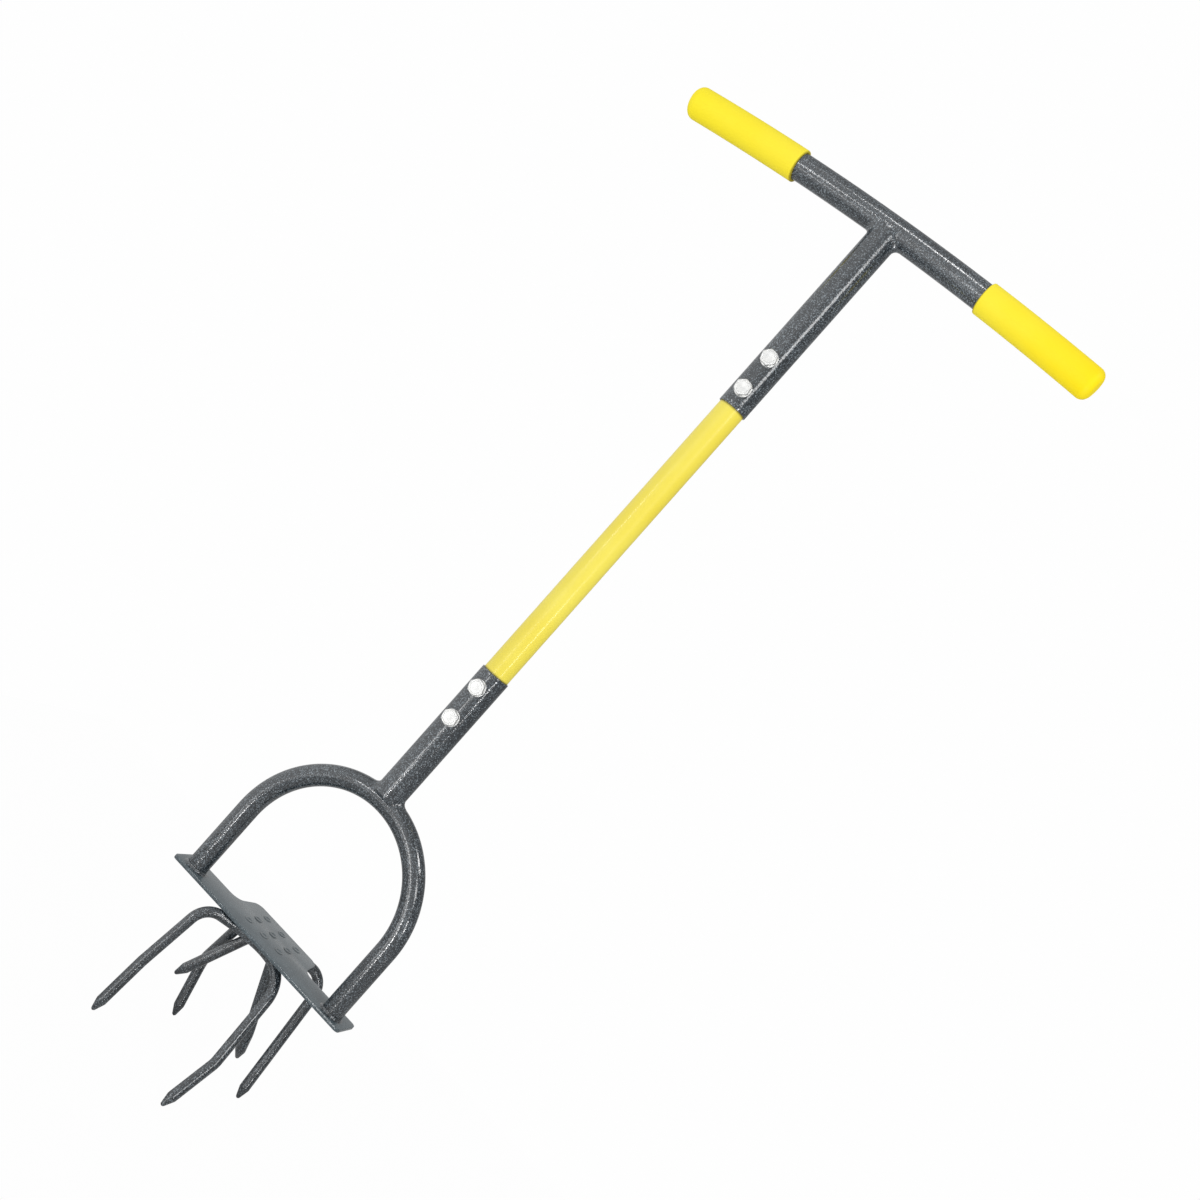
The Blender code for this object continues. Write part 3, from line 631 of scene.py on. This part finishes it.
# Rings in the head's disc: share of its radius, and depth in mm. On the flange: mm in from its rim, and mm
# above the seat.
headDish = [(0, 0.2), (0.3, 0.2), (0.36, 0.08), (0.72, 0.08), (0.76, 0.3), (0.8, 0.3), (0.85, 0), (0.92, 0)]
flangeEdge = [(0.25, 1.25), (0, 1.0), (0, 0.4), (0.3, 0)]
thread = {"radius": 3.58 * mm, "ridgeShare": 0.42, "steps": 40, "leastTurn": 38, "mostTurn": 54}
boltBoxes = [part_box(name) for name in sorted(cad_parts) if name.startswith("bolt_")]
boltHeights = [(low.z + high.z) / 2 for low, high in boltBoxes]


# Distance from a hexagon's centre to its edge in one direction, with its corners worn back a little
def hexReach(angle):
    fromFlat = (angle + tau / 12) % (tau / 6) - tau / 12
    return min(fastener["flats"] / 2 / math.cos(fromFlat), fastener["corner"])


def chamferDrop(angle):
    return (hexReach(angle) - fastener["chamferCircle"]) * math.tan(math.radians(fastener["chamferAngle"]))


# A point about Z laid down along -Y, where the heads face
def alongY(point):
    return Vector((point[0], -point[2], point[1]))


def hexRing(height, way=0):
    ring = []
    for a in ringAngles(fastener["sides"]):
        radius = hexReach(a)
        ring.append(alongY((radius * math.cos(a), radius * math.sin(a), height - way * chamferDrop(a))))
    return ring


def makeBoltShape():
    top = fastener["head"]
    sides = fastener["sides"]
    edge = fastener["chamferCircle"]
    disc = [(edge * share, top - depth * mm) for share, depth in headDish]
    rim = (edge, top - fastener["rimRound"])
    disc += quarterRound(disc[-1], rim, (edge, top), fastener["rimSteps"])[1:]
    reach = fastener["seat"] + fastener["nut"] + fastener["stickout"] + fastener["seat"]
    core = fastener["core"]
    under = [(fastener["flange"] - inward * mm, height * mm) for inward, height in flangeEdge]
    under += [(fastener["shank"], 0), (core, -fastener["neck"]), (core, fastener["tipLength"] - reach)]
    under += [(core - fastener["tipIn"], -reach), (0, -reach)]
    rings = [ringAt(r, z, sides, alongY) for r, z in disc]
    rings += [hexRing(top - fastener["rimDrop"], 1), hexRing(fastener["flangeTop"])]
    rings += [ringAt(r, z, sides, alongY) for r, z in under]
    return loft("boltShape", rings, zinc)


def makeNutShape():
    thick = fastener["nut"]
    edge = fastener["chamferCircle"]
    bore = fastener["shank"] + fastener["boreGap"]
    slope = fastener["boreChamfer"]
    outward = [(bore, thick - slope), (bore + slope, thick), (edge, thick)]
    inward = [(edge, 0), (bore + slope, 0), (bore, slope)]
    rings = [ringAt(r, z, fastener["sides"], alongY) for r, z in outward]
    rings += [hexRing(thick, 1), hexRing(0, -1)]
    rings += [ringAt(r, z, fastener["sides"], alongY) for r, z in inward]
    return loft("nutShape", rings, zinc, closed=True)


# One fastener on each point, each turned by its own angle about Y. Turns of thread run along it.
def makeFastenerTree():
    graph, given = openShapeTree("fastenerRow", {
        "Shape": "Object", "Thread Radius": "Float", "Thread Pitch": "Float", "Thread Turns": "Float",
        "Thread Start": "Float", "Least Turn": "Float", "Most Turn": "Float", "Seed": "Int"})
    shape = graph.node("GeometryNodeObjectInfo", {}, {"Object": given["Shape"]}, "Geometry")
    helix = graph.node("GeometryNodeCurveSpiral", {}, {
        "Resolution": thread["steps"], "Rotations": given["Thread Turns"],
        "Start Radius": given["Thread Radius"], "End Radius": given["Thread Radius"],
        "Height": given["Thread Turns"] * given["Thread Pitch"]})
    ridge = graph.node("GeometryNodeCurvePrimitiveCircle", {}, {
        "Resolution": 4, "Radius": given["Thread Pitch"] * thread["ridgeShare"]})
    turns = graph.node("GeometryNodeCurveToMesh", {}, {
        "Curve": helix, "Profile Curve": ridge, "Scale": 1.0, "Fill Caps": True})
    shift = graph.node("ShaderNodeCombineXYZ", {}, {"Y": given["Thread Start"]})
    lay = graph.node("FunctionNodeEulerToRotation", {}, {0: (-math.pi / 2, 0, 0)})
    turns = graph.node("GeometryNodeTransform", {}, {"Geometry": turns, "Translation": shift, "Rotation": lay})
    whole = graph.node("GeometryNodeJoinGeometry", {}, {0: [turns, shape]})
    angle = graph.node("FunctionNodeRandomValue", {"data_type": "FLOAT"}, {
        2: given["Least Turn"], 3: given["Most Turn"], "Seed": given["Seed"]}, 1)
    turn = graph.node("FunctionNodeAxisAngleToRotation", {}, {"Axis": (0, 1, 0), "Angle": angle})
    row = graph.node("GeometryNodeInstanceOnPoints", {}, {
        "Points": given["Geometry"], "Instance": whole, "Rotation": turn})
    return closeShapeTree(graph, row, given)


fastenerTree = makeFastenerTree()


def makeFasteners(name, shape, y, turns, threadStart, seed, nodeStart):
    points = addPath("fastenerPoints", [Vector((0, y, height)) for height in boltHeights])
    row = grow(name, points, fastenerTree, {
        "Finish": zinc, "Shape": shape, "Thread Radius": thread["radius"], "Thread Pitch": fastener["pitch"],
        "Thread Turns": turns, "Thread Start": threadStart, "Least Turn": math.radians(thread["leastTurn"]),
        "Most Turn": math.radians(thread["mostTurn"]), "Seed": seed})
    bpy.data.objects.remove(shape)
    settle(row, "zinc", *[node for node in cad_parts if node.startswith(nodeStart)], sharpAngle=24)


threadFrom = 2 * fastener["seat"]
threadTurns = (fastener["nut"] + fastener["stickout"] - fastener["tipLength"]) / fastener["pitch"]
makeFasteners("hexBolts", makeBoltShape(), -fastener["seat"], threadTurns, threadFrom, 4, "bolt_")
makeFasteners("hexNuts", makeNutShape(), fastener["seat"] + fastener["nut"], 0.0, 0.0, 9, "nut_")
print("bolts and nuts made")


# A path through corners, each inner one rounded by its radius
def roundedPath(corners, radii, steps=20):
    points = [Vector(corners[0])]
    for before, corner, after, radius in zip(corners, corners[1:], corners[2:], radii):
        corner = Vector(corner)
        back = (Vector(before) - corner).normalized()
        ahead = (Vector(after) - corner).normalized()
        half = back.angle(ahead) / 2
        centre = corner + (back + ahead).normalized() * radius / math.sin(half)
        start = corner + back * radius / math.tan(half) - centre
        end = corner + ahead * radius / math.tan(half) - centre
        sweep = start.angle(end)
        count = max(3, round(steps * sweep / (math.pi / 2)))
        for angle in spaced(0, sweep, count):
            share = (start * math.sin(sweep - angle) + end * math.sin(angle)) / math.sin(sweep)
            points.append(centre + share)
    points.append(Vector(corners[-1]))
    return points


# Foot plate: straight in front, with the wider tread behind
plate = {"thick": 3.2 * mm, "half": 101 * mm, "front": 13.5 * mm, "back": 22 * mm, "corner": 4 * mm,
         "treadBack": 55.5 * mm, "treadFoot": 42.5 * mm, "treadTop": 37.5 * mm, "treadFootRound": 11 * mm,
         "treadRound": 9 * mm, "roundSteps": 12, "edgeRound": 0.45 * mm, "edgeSteps": 3, "edgeAngle": 50}
# A mark's outline: mm from its middle, and mm above the plate
dimple = {"profile": [(4.3, -0.02), (3.9, 0.12), (3.5, 0.3), (3.05, 0.4), (2.6, 0.3), (2.2, 0.14), (1.8, 0.06),
                      (0, 0.03)], "root": -0.5, "sides": 40}


def plateOutline():
    centre = treadMarks["centre"][0]
    corners = [
        (-plate["half"], -plate["front"]), (plate["half"], -plate["front"]), (plate["half"], plate["back"]),
        (centre + plate["treadFoot"], plate["back"]), (centre + plate["treadTop"], plate["treadBack"]),
        (centre - plate["treadTop"], plate["treadBack"]), (centre - plate["treadFoot"], plate["back"]),
        (-plate["half"], plate["back"])]
    radii = [plate["corner"]] * 3 + [plate["treadFootRound"]] + [plate["treadRound"]] * 2
    radii += [plate["treadFootRound"], plate["corner"]]
    points = []
    for i, radius in enumerate(radii):
        trio = [(*corners[k % len(corners)], 0) for k in (i - 1, i, i + 1)]
        points += roundedPath(trio, [radius], plate["roundSteps"])[1:-1]
    return points


def makePlateBlank():
    shape = bmesh.new()
    outline = [shape.verts.new(point) for point in plateOutline()]
    flat = shape.faces.new(outline)
    moved = bmesh.ops.extrude_face_region(shape, geom=[flat])["geom"]
    underside = [each for each in moved if isinstance(each, bmesh.types.BMVert)]
    bmesh.ops.translate(shape, verts=underside, vec=(0, 0, -plate["thick"]))
    bmesh.ops.recalc_face_normals(shape, faces=shape.faces)
    mesh = bpy.data.meshes.new("plateBlank")
    shape.to_mesh(mesh)
    shape.free()
    blank = addPiece("plateBlank", mesh, tread)
    edge = blank.modifiers.new("edge", "BEVEL")
    edge.width = plate["edgeRound"]
    edge.segments = plate["edgeSteps"]
    edge.limit_method = "ANGLE"
    edge.angle_limit = math.radians(plate["edgeAngle"])
    return blank


# A pressed mark: a raised ring round a shallow cup
def makeDimpleShape():
    profile = [(0, dimple["root"]), (dimple["profile"][0][0], dimple["root"])] + dimple["profile"]
    rings = [ringAt(r * mm, z * mm, dimple["sides"]) for r, z in profile]
    return loft("dimpleShape", rings, tread)


def makeTreadTree():
    graph, given = openShapeTree("treadDimples", {
        "Shape": "Object", "Pitch X": "Float", "Pitch Y": "Float", "Centre": "Vector", "Rows": "Int"})
    shape = graph.node("GeometryNodeObjectInfo", {}, {"Object": given["Shape"]}, "Geometry")
    gaps = given["Rows"] - 1
    grid = graph.node("GeometryNodeMeshGrid", {}, {
        "Size X": given["Pitch X"] * gaps, "Size Y": given["Pitch Y"] * gaps,
        "Vertices X": given["Rows"], "Vertices Y": given["Rows"]})
    grid = graph.node("GeometryNodeTransform", {}, {"Geometry": grid, "Translation": given["Centre"]})
    marks = graph.node("GeometryNodeInstanceOnPoints", {}, {"Points": grid, "Instance": shape})
    both = graph.node("GeometryNodeJoinGeometry", {}, {0: [marks, given["Geometry"]]})
    return closeShapeTree(graph, both, given)


def makePlate():
    shape = makeDimpleShape()
    piece = grow("footPlateTread", makePlateBlank(), makeTreadTree(), {
        "Finish": tread, "Shape": shape, "Pitch X": treadMarks["pitch"][0], "Pitch Y": treadMarks["pitch"][1],
        "Centre": (*treadMarks["centre"], 0), "Rows": treadMarks["rows"]})
    bpy.data.objects.remove(shape)
    settle(piece, "plate_paint", "foot_plate", sharpAngle=plate["edgeAngle"])


makePlate()
print("foot plate made")

# Tine rods, in mm: corner points from tip to tip, the bend radius at each inner corner, and the welded run
rod = {"radius": 4.5 * mm, "pointLength": 9.5 * mm, "nibShare": 0.3, "nibLength": 1.4 * mm, "sides": 32,
       "step": 0.7 * mm}
tineRods = {
    "front": {
        "corners": [(-51.2, -47.8, -120), (-51.8, -34.6, -70.6), (-47.9, -19.4, -8), (-20.1, 0.9, -8),
                    (4.3, 8.0, -8), (37.3, -1.6, -8), (49.8, -35.5, -80.4), (48.1, -63.7, -120)],
        "radii": [18, 18, 30, 30, 30, 18], "run": ((-20.1, 0.9), (4.3, 8.0))},
    "middle": {
        "corners": [(-33, 58, -120), (-49.3, 66.6, -71.2), (-31, 30, -8), (5.2, 30, -8), (31.3, 44.5, -77),
                    (34, 58, -103.5)],
        "radii": [18, 18, 18, 18], "run": ((-31, 30), (5.2, 30))},
    "back": {
        "corners": [(-47.2, 28.7, -83.4), (-18.2, 49.5, -8), (10, 49.5, -8), (42.4, 75.3, -8),
                    (60.7, 44.5, -120)],
        "radii": [18, 30, 18], "run": ((-18.2, 49.5), (10, 49.5))}}
rodWeld = {"radius": 2.4 * mm, "length": 16 * mm, "offset": 0.4 * mm, "drop": 1.2 * mm, "dab": 2.2 * mm,
           "dabDepth": 0.22, "wander": 0.35, "endLength": 3 * mm, "sides": 20, "steps": 10}


def makeRod(label, shape):
    corners = [Vector(corner) * mm for corner in shape["corners"]]
    points = roundedPath(corners, [radius * mm for radius in shape["radii"]])
    bar = grow(label + "TineRod", addPath("rodPath", points), barTree, {
        "Finish": slate, "Radius": rod["radius"], "Step": rod["step"], "Sides": rod["sides"],
        "Point Length": rod["pointLength"], "Nib Share": rod["nibShare"], "Nib Length": rod["nibLength"]})
    settle(bar, "slate_paint", label + "_tine_rod", sharpAngle=60)


def makeRodWeld(label, place, side, shape, seed):
    start, end = (Vector((*spot, 0)) * mm for spot in shape["run"])
    along = (end - start).normalized()
    sideways = Vector((-along.y, along.x, 0)) * side
    centre = (start + end) / 2 + sideways * (rod["radius"] + rodWeld["offset"])
    centre.z = -plate["thick"] - rodWeld["drop"]
    points = [centre + along * rodWeld["length"] * share for share in spaced(-0.5, 0.5, rodWeld["steps"])]
    bead = grow(label + "RodWeld" + place.title(), addPath("weldPath", points), weldTree, {
        "Finish": weldSlate, "Radius": rodWeld["radius"], "Dab": rodWeld["dab"],
        "Dab Depth": rodWeld["dabDepth"], "Wander": rodWeld["wander"], "End Length": rodWeld["endLength"],
        "Sides": rodWeld["sides"], "Seed": float(seed)})
    settle(bead, "weld_paint", label + "_rod_weld_" + place, sharpAngle=60)


for number, (label, shape) in enumerate(tineRods.items()):
    makeRod(label, shape)
    makeRodWeld(label, "front", -1, shape, number * 2)
    makeRodWeld(label, "back", 1, shape, number * 2 + 1)
print("tine rods made")

# Welds round the stem's two joints and round the arch's feet: hollow fillets, nearly smooth under the paint
fillet = {"handleLeg": 4.2 * mm, "archTopLeg": 3.4 * mm, "footLeg": 2.5 * mm, "sink": 0.45 * mm,
          "proud": 0.06 * mm, "fullness": 0.22, "ripple": 0.05, "swells": 5, "dab": 2.3 * mm, "around": 240,
          "across": 9}


# One section: a hollow curve between the two toes, closed behind inside the walls
def filletSection(toe, corner, farToe, outOfTube, outOfFar):
    bend = corner.lerp((toe + farToe) / 2, fillet["fullness"])
    proud = [toe + outOfTube * fillet["proud"], farToe + outOfFar * fillet["proud"]]
    section = []
    for share in spaced(0, 1, fillet["across"]):
        section.append(proud[0].lerp(bend, share).lerp(bend.lerp(proud[1], share), share))
    sink = fillet["sink"]
    return section + [farToe - outOfFar * sink, corner - (outOfTube + outOfFar) * sink, toe - outOfTube * sink]


# How wide the fillet is at one angle: fine dabs on a few slow swells
def legAt(leg, angle, radius, seed):
    dabs = round(tau * radius / fillet["dab"])
    return leg * (1 + fillet["ripple"] * (math.sin(dabs * angle) + math.sin(fillet["swells"] * angle + seed)))


def makeJointWeld(name, joint, leg, node, seed):
    rings = []
    socket = stem["socketRadius"]
    way = joint["way"]
    for a in ringAngles(fillet["around"]):
        out = Vector((math.cos(a), math.sin(a), 0))
        size = legAt(leg, a, socket, seed)
        corner = out * socket + Vector((0, 0, copeHeight(joint, socket * out.x, socket * out.y)))
        toe = corner - Vector((0, 0, way * size))
        # The far toe lies on the tube: so far along its bend, and so far round it
        swing = (socket + size) * out.x / joint["bend"]
        rise = max(math.sqrt(max(joint["radius"] ** 2 - (socket * out.y) ** 2, 0)), stem["copeRise"])
        turn = math.copysign(math.acos(rise / joint["radius"]), out.y) + out.y * size / joint["radius"]
        toward = Vector((math.sin(swing), 0, math.cos(swing)))
        outOfTube = toward * (-way * math.cos(turn)) + Vector((0, math.sin(turn), 0))
        axis = toward * joint["bend"] + Vector((0, 0, joint["height"] - joint["bend"]))
        rings.append(filletSection(toe, corner, axis + outOfTube * joint["radius"], out, outOfTube))
    settle(loft(name, rings, weldSlate, closed=True), "weld_paint", node, sharpAngle=60)


makeJointWeld("handleWeldBead", joints["handle"], fillet["handleLeg"], "handle_weld", 1)
makeJointWeld("archTopWeldBead", joints["archTop"], fillet["archTopLeg"], "arch_top_weld", 2)


def makeFootWeld(name, across, node, seed):
    rings = []
    up = Vector((0, 0, 1))
    for a in ringAngles(fillet["around"]):
        out = Vector((math.cos(a), math.sin(a), 0))
        size = legAt(fillet["footLeg"], a, arch["radius"], seed)
        corner = Vector((across, 0, 0)) + out * arch["radius"]
        rings.append(filletSection(corner + up * size, corner, corner + out * size, out, up))
    settle(loft(name, rings, weldSlate, closed=True), "weld_paint", node, sharpAngle=60)


makeFootWeld("leftFootWeldBead", -arch["bend"], "left_arch_weld", 3)
makeFootWeld("rightFootWeldBead", arch["bend"], "right_arch_weld", 4)
print("welds made")

# Camera where the photograph was taken from
photoCamera = {"place": (0.35402, -1.09428, 0.37393), "turn": (90.868, -41.548, 16.2218), "lens": 42.4374,
               "sensor": 36, "nearest": 0.01}


def makeCamera():
    data = bpy.data.cameras.new("photoCamera")
    data.sensor_width = photoCamera["sensor"]
    data.lens = photoCamera["lens"]
    data.clip_start = photoCamera["nearest"]
    camera = bpy.data.objects.new("photoCamera", data)
    camera.location = photoCamera["place"]
    camera.rotation_euler = [math.radians(a) for a in photoCamera["turn"]]
    bpy.context.scene.collection.objects.link(camera)
    bpy.context.scene.camera = camera


makeCamera()

# Pale floor just under the tips. The camera sees nearly all of it white, and polished metal a little of that.
floorLook = {"half": 0.5, "drop": 0.4 * mm, "glow": 0.98, "mirrored": 0.1, "pale": (0.6, 0.6, 0.6)}


def makeFloor():
    half = floorLook["half"]
    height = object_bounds()[0].z - floorLook["drop"]
    mesh = bpy.data.meshes.new("studioFloor")
    corners = [(x * half, y * half, height) for x, y in ((-1, -1), (1, -1), (1, 1), (-1, 1))]
    mesh.from_pydata(corners, [], [(0, 1, 2, 3)])
    material = bpy.data.materials.new("floorWhite")
    material.use_nodes = True
    material.node_tree.nodes.clear()
    graph = Graph(material.node_tree)
    seen = graph.node("ShaderNodeLightPath", {}, {}, "Is Camera Ray")
    mirrored = graph.node("ShaderNodeLightPath", {}, {}, "Is Glossy Ray")
    share = (seen + mirrored * floorLook["mirrored"]) * floorLook["glow"]
    matt = graph.node("ShaderNodeBsdfDiffuse", {}, {"Color": (*floorLook["pale"], 1)})
    glow = graph.node("ShaderNodeEmission", {}, {"Color": (1, 1, 1, 1), "Strength": 1})
    mix = graph.node("ShaderNodeMixShader", {}, {0: share, 1: matt, 2: glow})
    graph.node("ShaderNodeOutputMaterial", {}, {"Surface": mix})
    addPiece("studioFloor", mesh, material)


makeFloor()

# Soft light: a dim room with pale walls, each bright where it fades in round its own direction. The camera
# sees the room white.
room = {"dim": 0.33, "seen": 0.992, "walls": [
    {"towards": (-0.88, -0.45, 0.0), "fade": (0.3, 0.85), "bright": 0.97},
    {"towards": (0.16, -0.9, 0.36), "fade": (0.76, 0.96), "bright": 0.75},
    {"towards": (0.2, -0.3, -1.0), "fade": (0.2, 0.8), "bright": 0.72},
    {"towards": (-0.45, 0.9, 0.15), "fade": (0.75, 0.98), "bright": 0.75}]}
# The small lamps draw the thin lines along the tubes, and the larger ones light the right side and the top
lampAim = Vector((0, 0, 0.3))
lamps = {
    "lowFront": {"place": (-0.35, -2.35, -0.1), "size": (0.18, 0.8), "power": 2.9},
    "leftFront": {"place": (-1.0, -2.1, -0.6), "size": (0.2, 0.2), "power": 0.8},
    "leftMiddle": {"place": (-0.94, -2.2, 0.6), "size": (0.18, 0.18), "power": 2.1},
    "footFront": {"place": (0.12, -2.35, -0.45), "size": (0.14, 0.18), "power": 4.0},
    "highRight": {"place": (1.8, -1.55, 1.25), "size": (0.6, 0.6), "power": 6.5},
    "middleRight": {"place": (1.93, -1.42, 0.23), "size": (0.14, 0.3), "power": 3.6},
    "highFront": {"place": (-0.55, -1.7, 2.25), "size": (0.22, 0.22), "power": 3.2},
    "highSide": {"place": (1.5, -0.5, 2.2), "size": (0.6, 0.6), "power": 10.5},
    "lowSide": {"place": (1.7, -0.4, -0.9), "size": (0.6, 0.6), "power": 16},
    "wideTop": {"place": (-0.3, -0.2, 2.4), "size": (2.6, 2.6), "power": 4}}


def makeRoom():
    world = bpy.data.worlds.new("studioRoom")
    bpy.context.scene.world = world
    world.use_nodes = True
    world.node_tree.nodes.clear()
    graph = Graph(world.node_tree)
    way = graph.node("ShaderNodeTexCoord", {}, {}, "Generated")
    light = room["dim"]
    for wall in room["walls"]:
        toward = Vector(wall["towards"]).normalized()
        facing = graph.node("ShaderNodeVectorMath", {"operation": "DOT_PRODUCT"}, {0: way, 1: toward}, "Value")
        light = light + graph.span(facing, *wall["fade"], 0, wall["bright"] - room["dim"])
    seen = graph.node("ShaderNodeLightPath", {}, {}, "Is Camera Ray")
    through = graph.node("ShaderNodeLightPath", {}, {}, "Is Transmission Ray")
    strength = light.maths("MAXIMUM", light, seen.maths("MAXIMUM", seen, through) * room["seen"])
    shade = graph.node("ShaderNodeBackground", {}, {"Color": (1, 1, 1, 1), "Strength": strength})
    graph.node("ShaderNodeOutputWorld", {}, {"Surface": shade})


def makeLamp(name, look):
    data = bpy.data.lights.new(name, "AREA")
    data.shape = "RECTANGLE"
    data.size, data.size_y = look["size"]
    data.energy = look["power"]
    lamp = bpy.data.objects.new(name, data)
    lamp.location = look["place"]
    lamp.rotation_euler = (lampAim - lamp.location).to_track_quat("-Z", "Y").to_euler()
    bpy.context.scene.collection.objects.link(lamp)


makeRoom()
for name, look in lamps.items():
    makeLamp(name, look)
bpy.context.scene.view_settings.view_transform = "Standard"
print("studio made")
